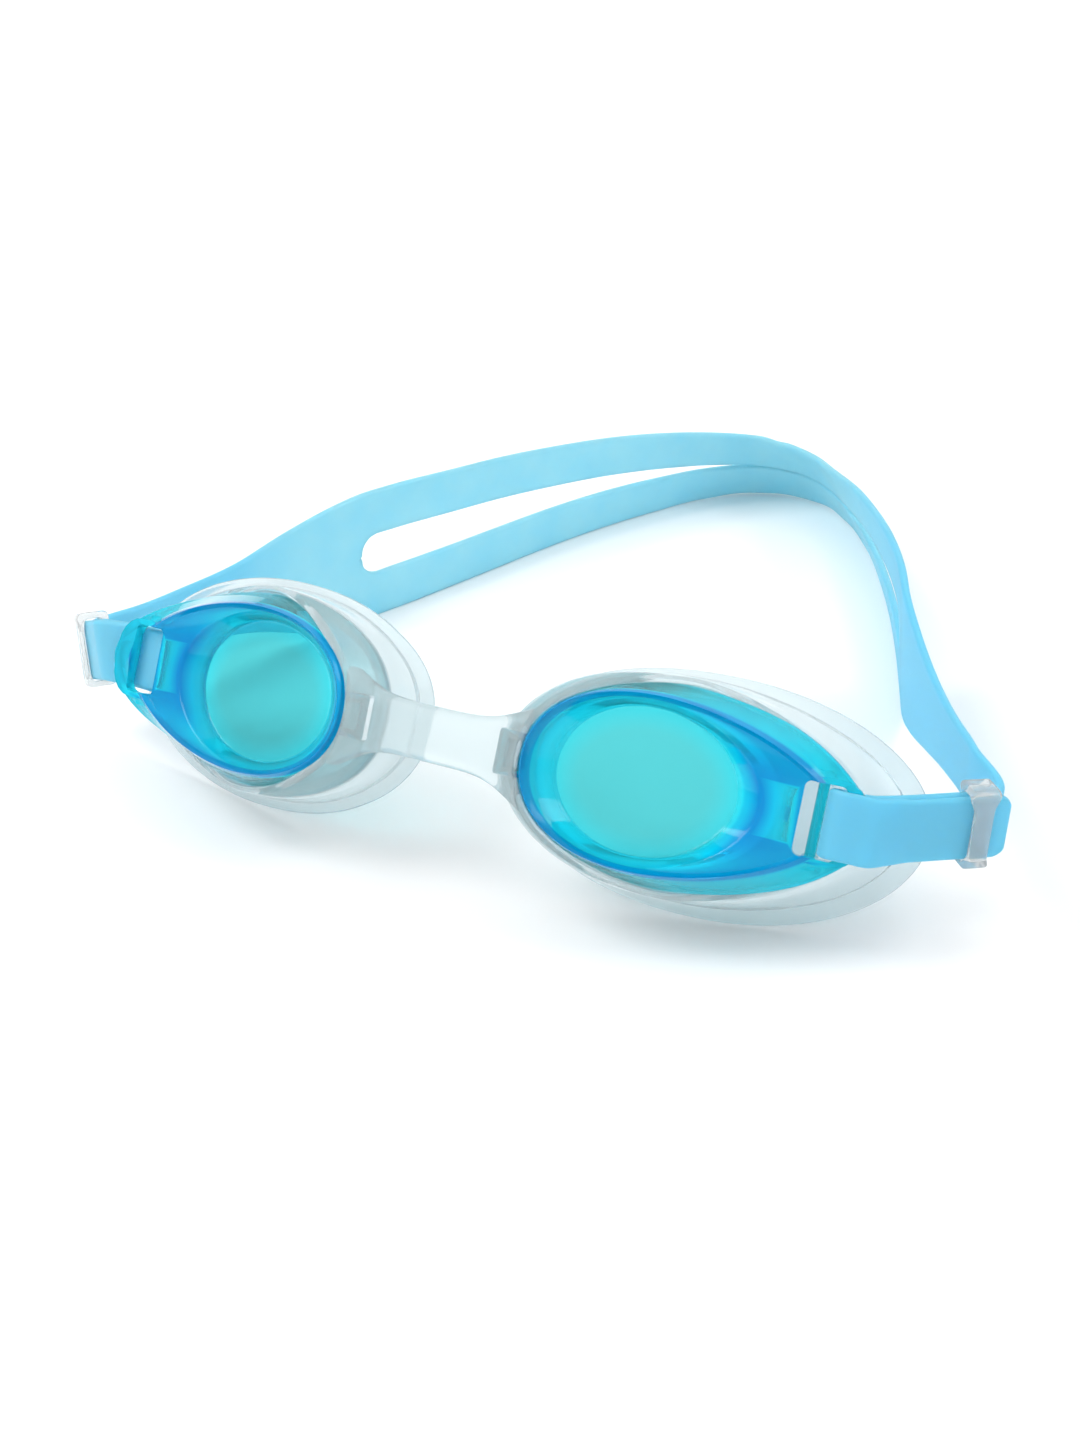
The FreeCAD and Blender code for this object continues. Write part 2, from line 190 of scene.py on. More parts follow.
# %% [markdown]
# ## Material helpers
# Plastic and silicone are see-through, so most of their look is how light bends in them
# and what they absorb. Colours are written as they look on a screen and turned into the
# linear values that a renderer adds up. One small function adds a node and its links.

# %% Colours and nodes
def linear(hex_colour):
    """Screen colour such as 7FD8F2 to linear red, green, blue and full alpha."""
    values = [int(hex_colour[i:i + 2], 16) / 255 for i in (0, 2, 4)]
    return [v / 12.92 if v <= 0.04045 else ((v + 0.055) / 1.055) ** 2.4 for v in values] + [1]


def new_material(name, colour, roughness, ior, transmission):
    """A Principled material with its plain numbers on the shader's own sockets."""
    material = bpy.data.materials.new(name)
    material.use_nodes = True
    shader = material.node_tree.nodes["Principled BSDF"]
    shader.inputs["Base Color"].default_value = linear(colour)
    shader.inputs["Roughness"].default_value = roughness
    shader.inputs["IOR"].default_value = ior
    shader.inputs["Transmission Weight"].default_value = transmission
    return material, shader


def add(material, kind, settings=(), links=()):
    """Adds a node; settings are (name, value), links are (input, output socket)."""
    node = material.node_tree.nodes.new("ShaderNode" + kind)
    for name, value in settings:
        if name in node.inputs:
            node.inputs[name].default_value = value
        else:
            setattr(node, name, value)
    for name, source in links:
        material.node_tree.links.new(source, node.inputs[name])
    return node


def ramp_colours(node, stops):
    """Sets a ColorRamp's stops: (place, screen colour)."""
    ramp_data = node.color_ramp
    while len(ramp_data.elements) < len(stops):
        ramp_data.elements.new(0.5)
    for element, (place, colour) in zip(ramp_data.elements, stops):
        element.position = place
        element.color = linear(colour)


def grain(material, shader, size_mm, height_mm, strength):
    """Fine moulded grain: a noise of the given grain size as bump on the shader."""
    where = add(material, "TexCoord")
    noise = add(material, "TexNoise", [("Scale", 1 / (size_mm * MM)), ("Detail", 3.0)],
                [("Vector", where.outputs["Object"])])
    bump = add(material, "Bump", [("Strength", strength), ("Distance", height_mm * MM)],
               [("Height", noise.outputs["Fac"])])
    material.node_tree.links.new(bump.outputs["Normal"], shader.inputs["Normal"])
    return noise


def mottle(material, shader, noise_mm, stops):
    """Slight change of colour over the surface, as uneven pigment gives."""
    where = add(material, "TexCoord")
    noise = add(material, "TexNoise", [("Scale", 1 / (noise_mm * MM)), ("Detail", 2.0)],
                [("Vector", where.outputs["Object"])])
    colours = add(material, "ValToRGB", [], [("Fac", noise.outputs["Fac"])])
    ramp_colours(colours, stops)
    material.node_tree.links.new(colours.outputs["Color"], shader.inputs["Base Color"])
    return colours


# %% [markdown]
# ## Tinted polycarbonate
# The cups are injection-moulded polycarbonate with a blue-green dye. The thin window looks
# turquoise, and the longer way that light takes through walls and edges makes them a deeper
# blue. Absorption inside the solid gives a part of that. The rest is painted shade: a value
# stored on the mesh, from 0 on the pale outer wall to 1 at the rim, picks a painted colour,
# deeper blue towards the rim, and how much light goes through. A mould-polished face is nearly a
# mirror.

# %% Tinted polycarbonate
tinted, tinted_shader = new_material("polycarbonate_dyed_painted_shade", "5FC6C8", 0.03, 1.3, 1.0)
painted_tint_share = add(tinted, "Attribute", [("attribute_name", "painted_tint_share")])
# Painted shade: the base colour follows a painted value on the mesh, pale on the outer wall and
# deeper blue towards the rim, for light absorbed along the longer way through walls and edges.
painted_tint_ramp = add(tinted, "ValToRGB", [], [("Fac", painted_tint_share.outputs["Fac"])])
ramp_colours(painted_tint_ramp, [(0.0, "CDEFF4"), (0.15, "8CDCE2"), (0.3, "5CC6CA"), (0.5, "28E2F2"),
                         (0.75, "0CD4F4"), (1.0, "0094D8")])
tinted.node_tree.links.new(painted_tint_ramp.outputs["Color"], tinted_shader.inputs["Base Color"])
# The same painted value lets less light through towards the rim, which darkens it further:
# painted shade too.
see_through = add(tinted, "ValToRGB", [], [("Fac", painted_tint_share.outputs["Fac"])])
ramp_colours(see_through, [(0.0, "E1E1E1"), (0.3, "FFFFFF"), (0.6, "C4C4C4"), (1.0, "B4B4B4")])
tinted.node_tree.links.new(see_through.outputs["Color"],
                           tinted_shader.inputs["Transmission Weight"])
dye = add(tinted, "VolumeAbsorption", [("Density", 130.0), ("Color", (0.02, 0.95, 0.98, 1))])
tinted.node_tree.links.new(dye.outputs["Volume"],
                           tinted.node_tree.nodes["Material Output"].inputs["Volume"])
print("tint:", tinted.name)

# %% Clear and blue silicone, and the keepers' plastic
clear, clear_shader = new_material("silicone_clear_moulded", "E6F0F2", 0.16, 1.22, 0.74)
grain(clear, clear_shader, 2.5, 0.05, 0.35)
blue, blue_shader = new_material("silicone_blue_moulded", "A0E4F6", 0.5, 1.41, 0.4)
blue_shader.inputs["Subsurface Weight"].default_value = 0.35
blue_shader.inputs["Subsurface Radius"].default_value = (0.4, 0.9, 1.0)
blue_shader.inputs["Subsurface Scale"].default_value = 2.5 * MM
pale = mottle(blue, blue_shader, 9, [(0.3, "9AE3F6"), (0.7, "A9E8F7")])
# Painted light: a deeper blue mixed in by a value on the mesh, for cyan light from the tinted
# cups showing through the silicone.
painted_cyan_share = add(blue, "Attribute", [("attribute_name", "painted_cyan_share")])
deeper = add(blue, "MixRGB", [("Color2", linear("78DAFA"))],
             [("Fac", painted_cyan_share.outputs["Fac"]), ("Color1", pale.outputs["Color"])])
blue.node_tree.links.new(deeper.outputs["Color"], blue_shader.inputs["Base Color"])
grain(blue, blue_shader, 0.8, 0.03, 0.3)
frosted, frosted_shader = new_material("polypropylene_frosted", "F2F6F6", 0.18, 1.3, 0.8)
mottle(frosted, frosted_shader, 4, [(0.3, "E6EAEA"), (0.7, "F4F6F6")])
grain(frosted, frosted_shader, 0.7, 0.03, 0.3)


def finish_piece(made, material, slot, body, *nodes):
    """Gives a piece its material and the body it rides on, and hides the parts it stands for;
    slot is not used.
    """
    made.data.materials.clear()
    made.data.materials.append(material)
    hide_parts(*nodes)
    if body:
        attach(made, body)
    print(made.name, len(made.data.polygons), "faces")


# %% [markdown]
# ## Lens cups
# Each cup is one moulding. The oval window is set 5 mm back in an egg-shaped dish with a
# sharp rim. From the rim the wall runs back and outward to a wider flange, and at the temple
# both run together into a flat wing. The back follows the front at a wall of about 2 mm. A
# plate stiffens the wing, the slot for the strap is cut through both, and a pin stands on
# two cheeks behind the slot. The cheeks are joined to the pin before it goes on the cup.
# They reach a little into the slot, because faces in one plane can leave holes in a join.

# %% Rings of the cup
WINDOW = (23.5, 54.5, 39, 13, 13, 2, 2)
RIM = (19, 73, 41, 15.5, 15.5, 2.2, 1.75)
FLANGE = (13, 79, 42, 18, 18.5, 2.1, 1.75)
FLANGE_DEPTH, TIP_DEPTH = 9.0, 0.9


def flange_depth(x):
    """Depth of the flange behind the face: it runs out towards the wing's tip."""
    return FLANGE_DEPTH - (FLANGE_DEPTH - TIP_DEPTH) * ramp(x, 58, 77)


def flange_rear(x):
    """Back of the flange, which thins with it."""
    return flange_depth(x) + 1.5 - 0.4 * ramp(x, 58, 77)


def grown(shape, amount):
    """An egg shape with every side moved outward."""
    nose, temple, middle, top, bottom, *powers = shape
    return (nose - amount, temple + amount, middle, top + amount, bottom + amount, *powers)


# Painted tint round the rings, a painted shade: pale outer wall at the nose, deep blue beside the
# window's temple end
OUTER = 0.5 * ramp(egg(*RIM, 0)[:, :1], 24, 50)
DEEP = 0.7 + 0.3 * ramp(egg(*WINDOW, 0)[:, :1], 47, 54)
ROUND_STEPS = 4


def lens_rings():
    """Rings of the cup's section, from the window's front to its back, and their painted tint, a
    painted shade.
    """
    between = [egg(*(np.array(RIM) * (1 - share) + np.array(FLANGE) * share),
                   lambda x, share=share: share * flange_depth(x)) for share in (0.12, 0.3, 0.85)]
    stops = [(egg(38.9, 39.1, 39, 0.1, 0.1, 2, 2, 5.0), 0, 0.3),
             (egg(*grown(WINDOW, -4), 5.0), 0, 0.3),
             (egg(*WINDOW, 5.0), 0.35, 0.45),
             (egg(20.7, 60, 39, 14.6, 14.6, 2.1, 1.9, 1.5), 0.5, DEEP),
             (egg(19.9, 71.4, 41, 14.7, 14.7, 2.2, 1.8, 1.1), 0.25, 0.95),
             (egg(*RIM, 0), 0.22, 1.0),
             (between[0], 0.3, 1.0),
             (between[1], 0.3, OUTER + 0.1),
             (between[2], 0.3, OUTER),
             (egg(*FLANGE, flange_depth), 0.4, OUTER + 0.1),
             (egg(*FLANGE, flange_rear), 0.4, OUTER + 0.1),
             (egg(15, 77, 42, 16.4, 16.9, 2.1, 1.6, flange_rear), 0.5, OUTER),
             (egg(20.0, 70, 41, 14.9, 14.9, 2.2, 1.8, 3.0), 0.6, OUTER),
             (egg(20.5, 61.8, 39.3, 14.6, 14.6, 2.1, 1.9, 3.3), 0.6, DEEP - 0.1),
             (egg(22.0, 56.8, 39, 14.1, 14.1, 2, 2, 6.6), 0.6, DEEP - 0.1),
             (egg(23.2, 55.2, 39, 13.3, 13.3, 2, 2, 7.0), 0.4, 0.3),
             (egg(38.9, 39.1, 39, 0.1, 0.1, 2, 2, 7.0), 0, 0.3)]
    rings, radii, painted_tints = zip(*stops)
    shares = []
    for painted_tint, radius in zip(painted_tints, radii):
        painted_ring = np.full((RING_POINTS, 1), 0) + painted_tint
        shares += [painted_ring] * (1 if radius == 0 else ROUND_STEPS)
    return rounded(rings, radii, steps=ROUND_STEPS), np.concatenate(shares)[:, 0]


# The pin, and the painted tint of what lies further than PIN_AWAY from the rings: painted
# lighter, a painted highlight along the pin
PIN_SIDE, PIN_BACK, PIN_RADIUS = 31.5, 6.0, 1.0
PIN_AWAY, PIN_PAINTED_TINT = 2.2, 0.4
WRAP_TURN = math.radians(14.5)
CUP_SIDE, CUP_BACK = 39.0, 5.1


def from_cup(points):
    """Points of the flat wing's own frame (x to the temple, y back, z up) to the drawing."""
    x, y, z = np.asarray(points, float).T
    return np.stack([CUP_SIDE + x * math.cos(WRAP_TURN) - y * math.sin(WRAP_TURN),
                     CUP_BACK + x * math.sin(WRAP_TURN) + y * math.cos(WRAP_TURN), z], axis=1)


def rounded_block(name, low, high, corner, place, side):
    """A block with rounded upright corners, in x and z, between two depths in y."""
    middle = [(a + b) / 2 for a, b in zip(low, high)]
    half = [(b - a) / 2 for a, b in zip(low, high)]
    outline = []
    for quarter, (sx, sz) in enumerate(((1, 1), (-1, 1), (-1, -1), (1, -1))):
        for angle in np.radians(np.linspace(0, 90, 6) + 90 * quarter):
            outline.append((middle[0] + sx * (half[0] - corner) + corner * math.cos(angle),
                            middle[2] + sz * (half[2] - corner) + corner * math.sin(angle)))
    points = [(x, y, z) for y in (low[1], high[1]) for x, z in outline]
    count = len(outline)
    faces = quads(2, count) + [tuple(range(count)), tuple(range(count, 2 * count))]
    return piece(name, stand(place(points), side), faces)


def make_lens(label, side):
    """One cup: its loft, the wing plate, the slot through both, the pin and the lug."""
    rings, painted_tints = lens_rings()
    points = stand(np.concatenate(rings), side)
    faces = quads(len(rings), RING_POINTS)
    last = (len(rings) - 1) * RING_POINTS
    faces += [tuple(range(RING_POINTS)), tuple(range(last, last + RING_POINTS))]
    lens = piece(label, points, faces)
    combine(lens, rounded_block("wing_plate", (26.8, 0.7, -7.7), (40.4, 2.6, 7.7), 5.6,
                                from_cup, side), "UNION")
    combine(lens, rounded_block("slot_core", (28.5, -4, -6.6), (36.0, 14, 6.6), 1.2,
                                from_cup, side), "DIFFERENCE")
    add_pin(lens, side)
    add_lug(lens, side)
    tidy_mesh(lens, 32)
    mark_points(lens, "painted_tint_share", points, painted_tints, PIN_AWAY, PIN_PAINTED_TINT)
    return lens


def add_lug(lens, side):
    """Rectangular loop on the nose edge that the soft bridge is moulded round."""
    loop = rounded_block("lug", (13.4, 1.5, -4.0), (20.4, 3.3, 4.0), 0.7, np.asarray, side)
    combine(loop, rounded_block("lug_hole", (15.0, 0, -2.6), (17.6, 6, 2.6), 0.5,
                                np.asarray, side), "DIFFERENCE")
    combine(lens, loop, "UNION")


def add_pin(lens, side):
    """Pin across the slot, on two cheeks behind the wing."""
    turn = np.linspace(0, 2 * math.pi, 32, endpoint=False)
    circle = np.stack([PIN_SIDE + PIN_RADIUS * np.cos(turn),
                       PIN_BACK + PIN_RADIUS * np.sin(turn)], axis=1)
    ends = [np.column_stack([circle, np.full(32, z)]) for z in (-7.2, 7.2)]
    faces = quads(2, 32) + [tuple(range(32)), tuple(range(32, 64))]
    pin = piece("pin", stand(from_cup(np.concatenate(ends)), side), faces)
    for low, high in ((6.45, 8.8), (-8.8, -6.45)):
        combine(pin, rounded_block("cheek", (29.9, 1.3, low), (33.1, 7.2, high), 0.6,
                                   from_cup, side), "UNION")
    combine(lens, pin, "UNION")


for label, side in (("lens_right", 1), ("lens_left", -1)):
    finish_piece(make_lens(label + "_cup", side), tinted, "tinted_lens", "front", label)

# %% [markdown]
# ## Seals
# The seal is soft clear silicone. At the nose it hugs the cup almost up to the rim, then it
# grips the flange in a groove, and behind that a thin skirt flares out to a rolled edge that
# rests on the face. It is one closed tube-like section that goes round the eye, so its rings
# close on themselves.

# %% Rings of the seal
SEAL_GAP = 0.15


def skirt_depth(x):
    """Depth of the skirt's back edge, which sweeps back towards the temple."""
    return 20 + 0.25 * np.maximum(x - 20, 0) - wrap(x)


def cup_wall(share, away):
    """Ring on the cup's outer wall, from rim at 0 to flange at 1, moved off the wall."""
    low, high = np.array(RIM, float), np.array(FLANGE, float)
    rings = [egg(*grown(tuple(low + (high - low) * s), away),
                 lambda x, s=s: s * flange_depth(x)) for s in (0.0, 1.0)]
    share = share[:, None]
    return rings[0] * (1 - share) + rings[1] * share


def seal_rings():
    """Stops of the seal's section: lip, outer wall, skirt, rolled edge, inside, groove."""
    x = egg(*RIM, 0)[:, 0]
    lip = 0.14 + 0.86 * ramp(x, 24, 44)
    temple = ramp(x, 44, 60)[:, None]

    def mixed(nose_ring, temple_ring):
        return nose_ring * (1 - temple) + temple_ring * temple

    behind = (13, 72, 42, 16.6, 17.0, 2.1, 1.7)
    stops = [
        (mixed(cup_wall(lip, SEAL_GAP), egg(*grown(behind, -0.6), 10.9)), 0.2),
        (mixed(cup_wall(lip - 0.05, 0.8), egg(*behind, 10.7)), 0.4),
        (mixed(cup_wall(lip, 1.5), egg(*grown(behind, 0.8), 11.0)), 0.4),
        (egg(11.4, 76.5, 42, 19.5, 20.0, 2.1, 1.75, 9.2), 1.2),
        (egg(11.2, 77.5, 43, 19.4, 20.3, 2.1, 1.8, lambda v: 0.45 * skirt_depth(v) + 6), 2.0),
        (egg(10.6, 80.0, 45, 19.6, 21.3, 2.15, 1.9, lambda v: 0.75 * skirt_depth(v) + 3), 2.5),
        (egg(9.0, 84.0, 46, 21, 23.5, 2.2, 2.0, lambda v: skirt_depth(v)), 0.9),
        (egg(9.8, 83.2, 46, 20.2, 22.7, 2.2, 2.0, lambda v: skirt_depth(v) + 0.9), 0.7),
        (egg(13.0, 79.6, 46, 17.4, 19.8, 2.2, 2.0, lambda v: skirt_depth(v) + 0.2), 0.4),
        (egg(12.8, 79.8, 46, 17.7, 20.1, 2.2, 2.0, lambda v: skirt_depth(v) - 0.8), 0.5),
        (egg(11.9, 78.6, 45, 18.6, 20.2, 2.15, 1.9, lambda v: 0.75 * skirt_depth(v) + 3), 2.0),
        (egg(13.2, 75.6, 43, 17.8, 18.6, 2.1, 1.8, lambda v: 0.45 * skirt_depth(v) + 6.3), 1.0),
        (egg(16.4, 64.0, 41, 15.6, 16.0, 2.1, 1.8, 12.4), 0.5),
        (egg(16.6, 60.0, 40.5, 15.2, 15.6, 2.1, 1.9, 11.2), 0.4),
        (mixed(egg(*grown(FLANGE, SEAL_GAP), lambda v: flange_rear(v) + SEAL_GAP),
               egg(*grown(behind, -0.9), 11.2)), 0.2)]
    rings = [ring for ring, _ in stops]
    return rounded(rings, [radius for _, radius in stops], closed=True)


def make_seal(label, side):
    """One seal, closed round its section."""
    rings = seal_rings()
    return piece(label, stand(np.concatenate(rings), side),
                 quads(len(rings), RING_POINTS, close_rows=True), 50)


for label, side in (("seal_right", 1), ("seal_left", -1)):
    finish_piece(make_seal(label + "_skirt", side), clear, "clear_silicone", "front", label)

# %% [markdown]
# ## Nose bridge
# The bridge is moulded from the same clear silicone between the two cups. It is waisted in
# the middle, and its ends follow the egg shape of the seals, so a straight bar would leave
# gaps. Each section is a soft-cornered rectangle, placed at a share of the way to the seal.

# %% Bridge
BRIDGE_GAP, BRIDGE_MIDDLE, BRIDGE_SQUARE = 0.12, 2.5, 2 / 3.4


def seal_nose(y, z):
    """How far from the middle the seal's nose side lies at a depth and height."""
    nose = 17.5 - 0.667 * y
    half = 16.9 + 0.28 * y
    return 41 - (41 - nose) * (1 - np.minimum(np.abs(z) / half, 0.98) ** 2.2) ** (1 / 2.2)


def make_bridge():
    """Sections from the left seal to the right one; the lugs' space is cut out afterwards."""
    section = np.linspace(0, 2 * math.pi, 48, endpoint=False)
    shares = np.sin(np.linspace(-math.pi / 2, math.pi / 2, 61))
    points = []
    for share in shares:
        flare = abs(share)
        top, bottom = 5.0 + 3.6 * flare ** 4, 5.2 + 4.6 * flare ** 5
        y_half = 1.75 + 0.5 * flare ** 2
        wave_z, wave_y = np.sin(section), np.cos(section)
        z = (np.where(wave_z > 0, top, bottom) * np.sign(wave_z)
             * np.abs(wave_z) ** BRIDGE_SQUARE)
        y = BRIDGE_MIDDLE + y_half * np.sign(wave_y) * np.abs(wave_y) ** BRIDGE_SQUARE
        x = share * (seal_nose(y, z) - BRIDGE_GAP)
        points.append(np.stack([x, y, z], axis=1))
    count = len(section)
    last = (len(shares) - 1) * count
    faces = quads(len(shares), count) + [tuple(range(count)),
                                         tuple(range(last, last + count))]
    return piece("nose_bridge_bar", stand(np.concatenate(points)), faces, 45)


bridge = make_bridge()
for side in (1, -1):
    for number, (low, high) in enumerate((((13.3, 1.4, -4.1), (15.1, 3.4, 4.1)),
                                          ((15.0, 1.4, 2.5), (20.5, 3.4, 4.1)),
                                          ((15.0, 1.4, -4.1), (20.5, 3.4, -2.5)))):
        combine(bridge, rounded_block(f"space_{number}", low, high, 0.5, np.asarray, side),
                "DIFFERENCE")
tidy_mesh(bridge, 45)
finish_piece(bridge, clear, "clear_silicone", "front", "nose_bridge")

# %% [markdown]
# ## Strap
# The strap is one moulded silicone ribbon. On the right its tail lies over the wing and
# folds through the slot. On the left it stays behind the wing and folds round the pin. Then
# it comes back under itself, passes the keeper and goes round the head, where it widens and
# divides into two bands. It is drawn as stations along its middle line, each with the
# direction of its width, and a smooth curve goes through them.

# %% Stations of the two ends
BAND_WIDTH, BAND_THICK, SPLIT_BAND = 12.0, 1.6, 10.5
LAYER_PITCH, SLOT_PLAY = 1.8, 0.3
FOLD_SIDE, WING_END, WING_THICK = 36.1, 40.5, 3.0
END_ANGLE, TAIL, STRAIGHT = math.radians(43), 25.2, 7.0
KEEPER_AT, KEEPER_LONG = 19.5, 5.0
DIP = {1: math.radians(5), -1: math.radians(24)}


def unit(vector):
    """The vector at length 1."""
    return np.asarray(vector, float) / np.linalg.norm(vector)


def end_frame(side):
    """Where a doubled end starts, its direction, its width's direction and its inside."""
    play = SLOT_PLAY + BAND_THICK / 2
    tip = stand(from_cup([(WING_END + play, -play, 0)]), side)[0]
    flat = math.cos(DIP[side])
    along = np.array([side * math.cos(END_ANGLE) * flat, math.sin(END_ANGLE) * flat,
                      -math.sin(DIP[side])])
    inward = np.array([-side * math.sin(END_ANGLE), math.cos(END_ANGLE), 0])
    return tip, along, unit(np.cross(along, inward) * side), inward


def half_turn(centre_x, centre_y, radius):
    """Half circle from in front of a centre, round its nose side, to behind it."""
    return [(centre_x + radius * math.cos(turn), centre_y - radius * math.sin(turn))
            for turn in np.radians(np.arange(90, 271, 22.5))]


def end_stations(side):
    """Stations from the tail through the slot and out to the keeper.

    The right end lies over the wing and folds round its outer bar. The left end stays
    behind the wing and folds round the pin."""
    tip, along, height, inward = end_frame(side)
    upright = np.array([0, math.sin(TIP_BACK), math.cos(TIP_BACK)])
    front = -SLOT_PLAY - BAND_THICK / 2
    stations = [(tip + along * at, height) for at in (TAIL, 16, STRAIGHT + 1, STRAIGHT)]
    if side > 0:
        stations += [(tip + along * (STRAIGHT / 2), unit(height + upright)), (tip, upright)]
        turn = half_turn(FOLD_SIDE, WING_THICK / 2, WING_THICK / 2 - front)
        wing = [(38, front), *turn, (WING_END - 1, WING_THICK - front)]
    else:
        turn = half_turn(PIN_SIDE, PIN_BACK, PIN_RADIUS + 0.1 + BAND_THICK / 2)
        wing = [(WING_END - 1, turn[0][1]), (35, turn[0][1]), *turn,
                (34, turn[-1][1]), (WING_END - 2.5, turn[-1][1])]
    stations += [(stand(from_cup([(x, y, 0)]), side)[0], upright) for x, y in wing]
    offset = inward * LAYER_PITCH
    stations += [(tip + along * at + offset, height)
                 for at in (STRAIGHT, STRAIGHT + 1, 15, KEEPER_AT + KEEPER_LONG / 2 + 0.5)]
    return [(*middle, *way, BAND_WIDTH) for middle, way in stations]


print("right tail at", np.round(end_stations(1)[0][:3], 1))

# %% Stations round the head: lower edge x, y, z, width, lean of the upper edge in degrees
HEAD_LOOP = [
    (-90.9, 39, 11.9, 11.9, 0), (-88.0, 52, 10.9, 12.6, 0), (-84.5, 66, 8, 16.0, 0),
    (-80.5, 80, 3.8, 23.0, 0), (-76.5, 91, 1, 28.0, 0), (-73.5, 99, 0, 30.0, 0),
    (-70, 108, 0, 30.0, 0), (-65, 123, 0, 29.5, 3), (-60, 139, 0, 28.5, 5),
    (-55, 155, 0, 27.0, 8), (-49, 171, 0, 25.5, 12), (-42, 186, 0, 24.0, 18),
    (-34, 200, 0, 22.3, 25), (-25, 209, 0, 21.4, 30), (-16, 212, 0, 21.1, 33),
    (-7, 210.5, 0, 21.1, 33), (4, 202, 0, 21.3, 30), (14, 189, 0, 22.6, 26),
    (25, 170, 0, 25.5, 18), (34, 152, 0, 27.5, 12), (42, 134, 0, 29.2, 7),
    (49, 117, 0, 30.0, 4), (53, 107, 0.8, 28.2, 3), (59.5, 93, 4.8, 22.5, 1),
    (68, 77, 10.4, 16.5, 0), (77, 61, 15.6, 12.8, 0), (86.0, 46.0, 18.6, 12.0, 0)]
SPLIT_START, SPLIT_END = (-73.5, 99), (49, 117)


def head_stations():
    """Stations round the head from left to right, at the middle of the ribbon."""
    result = []
    last = len(HEAD_LOOP) - 1
    for index, (x, y, z, width, lean) in enumerate(HEAD_LOOP):
        before, after = HEAD_LOOP[max(index - 1, 0)], HEAD_LOOP[min(index + 1, last)]
        travel = unit((after[0] - before[0], after[1] - before[1], 0))
        tilt = math.radians(lean)
        way = np.array([travel[1] * math.sin(tilt), -travel[0] * math.sin(tilt),
                        math.cos(tilt)])
        foot = z + BAND_THICK / 2 * math.sin(tilt) + 0.05
        middle = np.array([x + SHIFT_SIDE, y + SHIFT_BACK, foot]) + way * width / 2
        result.append((*middle, *way, width))
    return result


# %% A smooth line through the stations
def smooth_line(stations, spacing):
    """Rows along a curve through the stations, about evenly spaced, and their distance."""
    knots = np.array(stations)
    chord = np.linalg.norm(np.diff(knots[:, :3], axis=0), axis=1)
    place = np.concatenate([[0], np.cumsum(chord)])
    slope = np.gradient(knots, place, axis=0)
    rows, distance = [], []
    for index, length in enumerate(chord):
        steps = max(2, int(round(length / spacing)))
        for t in np.arange(steps) / steps:
            first = (1 + 2 * t) * (1 - t) ** 2 * knots[index]
            second = t * t * (3 - 2 * t) * knots[index + 1]
            bend = t * (1 - t) ** 2 * slope[index] - t * t * (1 - t) * slope[index + 1]
            rows.append(first + second + length * bend)
            distance.append(place[index] + t * length)
    return np.array(rows + [knots[-1]]), np.array(distance + [place[-1]]), place


left_end, right_end = end_stations(-1), end_stations(1)
route = left_end + head_stations() + right_end[::-1]
rows, distance, knot_place = smooth_line(route, 0.65)
first_split = len(left_end) + [s[:2] for s in HEAD_LOOP].index(SPLIT_START)
last_split = len(left_end) + [s[:2] for s in HEAD_LOOP].index(SPLIT_END)
split_from, split_to = knot_place[first_split], knot_place[last_split]
print("strap length", round(distance[-1]), "mm, split from", round(split_from), "to",
      round(split_to))

# %% [markdown]
# The ribbon's surface is two sets of columns, one for each band. Where the strap isn't
# divided, they meet in the middle and are merged. The slot ends are half circles, the long
# edges are rounded off by thinning the last columns, and low teeth across the bands are the
# moulded grip that keeps a strap from slipping.

# %% Ribbon
EDGE_STEPS = np.array([0, 0.12, 0.35, 0.7])
EDGE_ROUND, TAIL_CORNER = 0.75, 2.6
SPLIT_RADIUS = (30.0 - 2 * SPLIT_BAND) / 2
TOOTH_PITCH, TOOTH_HEIGHT = 2.6, 0.14


def gap_at(where, width):
    """Width of the slot at a distance along the strap."""
    gap = np.where((where > split_from) & (where < split_to), width - 2 * SPLIT_BAND, 0)
    gap = np.maximum(gap, 0)
    for end, way in ((split_from, 1), (split_to, -1)):
        inside = way * (where - end)
        near = (inside > 0) & (inside < SPLIT_RADIUS)
        circle = 2 * np.sqrt(np.maximum(SPLIT_RADIUS ** 2 - (SPLIT_RADIUS - inside) ** 2, 0))
        gap = np.where(near, np.minimum(gap, circle), gap)
    return gap


def extra_rows(rows, distance):
    """Closer rows at the slot's ends and at the tails, so that their curves come out round."""
    bends = SPLIT_RADIUS * (1 - np.cos(np.radians(np.linspace(1, 60, 12))))
    tails = np.array([0.05, 0.15, 0.3, 0.5, 0.8, 1.2, 1.7, 2.2])
    wanted = np.concatenate([split_from + bends, split_to - bends, tails,
                             distance[-1] - tails, distance])
    wanted = np.unique(np.round(wanted, 3))
    return np.stack([np.interp(wanted, distance, column) for column in rows.T], 1), wanted


rows, distance = extra_rows(rows, distance)
middle, width = rows[:, :3], rows[:, 6]
way = rows[:, 3:6] / np.linalg.norm(rows[:, 3:6], axis=1, keepdims=True)
travel = np.gradient(middle, distance, axis=0)
outward = np.cross(travel, way)
outward /= np.linalg.norm(outward, axis=1, keepdims=True)
tail_distance = np.minimum(distance, distance[-1] - distance)
corner = np.clip(TAIL_CORNER - tail_distance, 0, TAIL_CORNER)
narrow = TAIL_CORNER - np.sqrt(TAIL_CORNER ** 2 - corner ** 2)
gap = gap_at(distance, width)
half = width / 2 - narrow


def band_columns(low, high):
    """Places across one band: close together at its edges and even between them."""
    lower = [low + step for step in EDGE_STEPS]
    body = [low + EDGE_STEPS[-1] + (high - low - 2 * EDGE_STEPS[-1]) * share
            for share in np.linspace(0, 1, 8)[1:-1]]
    upper = [high - step for step in EDGE_STEPS[::-1]]
    return np.stack(lower + body + upper, axis=1)


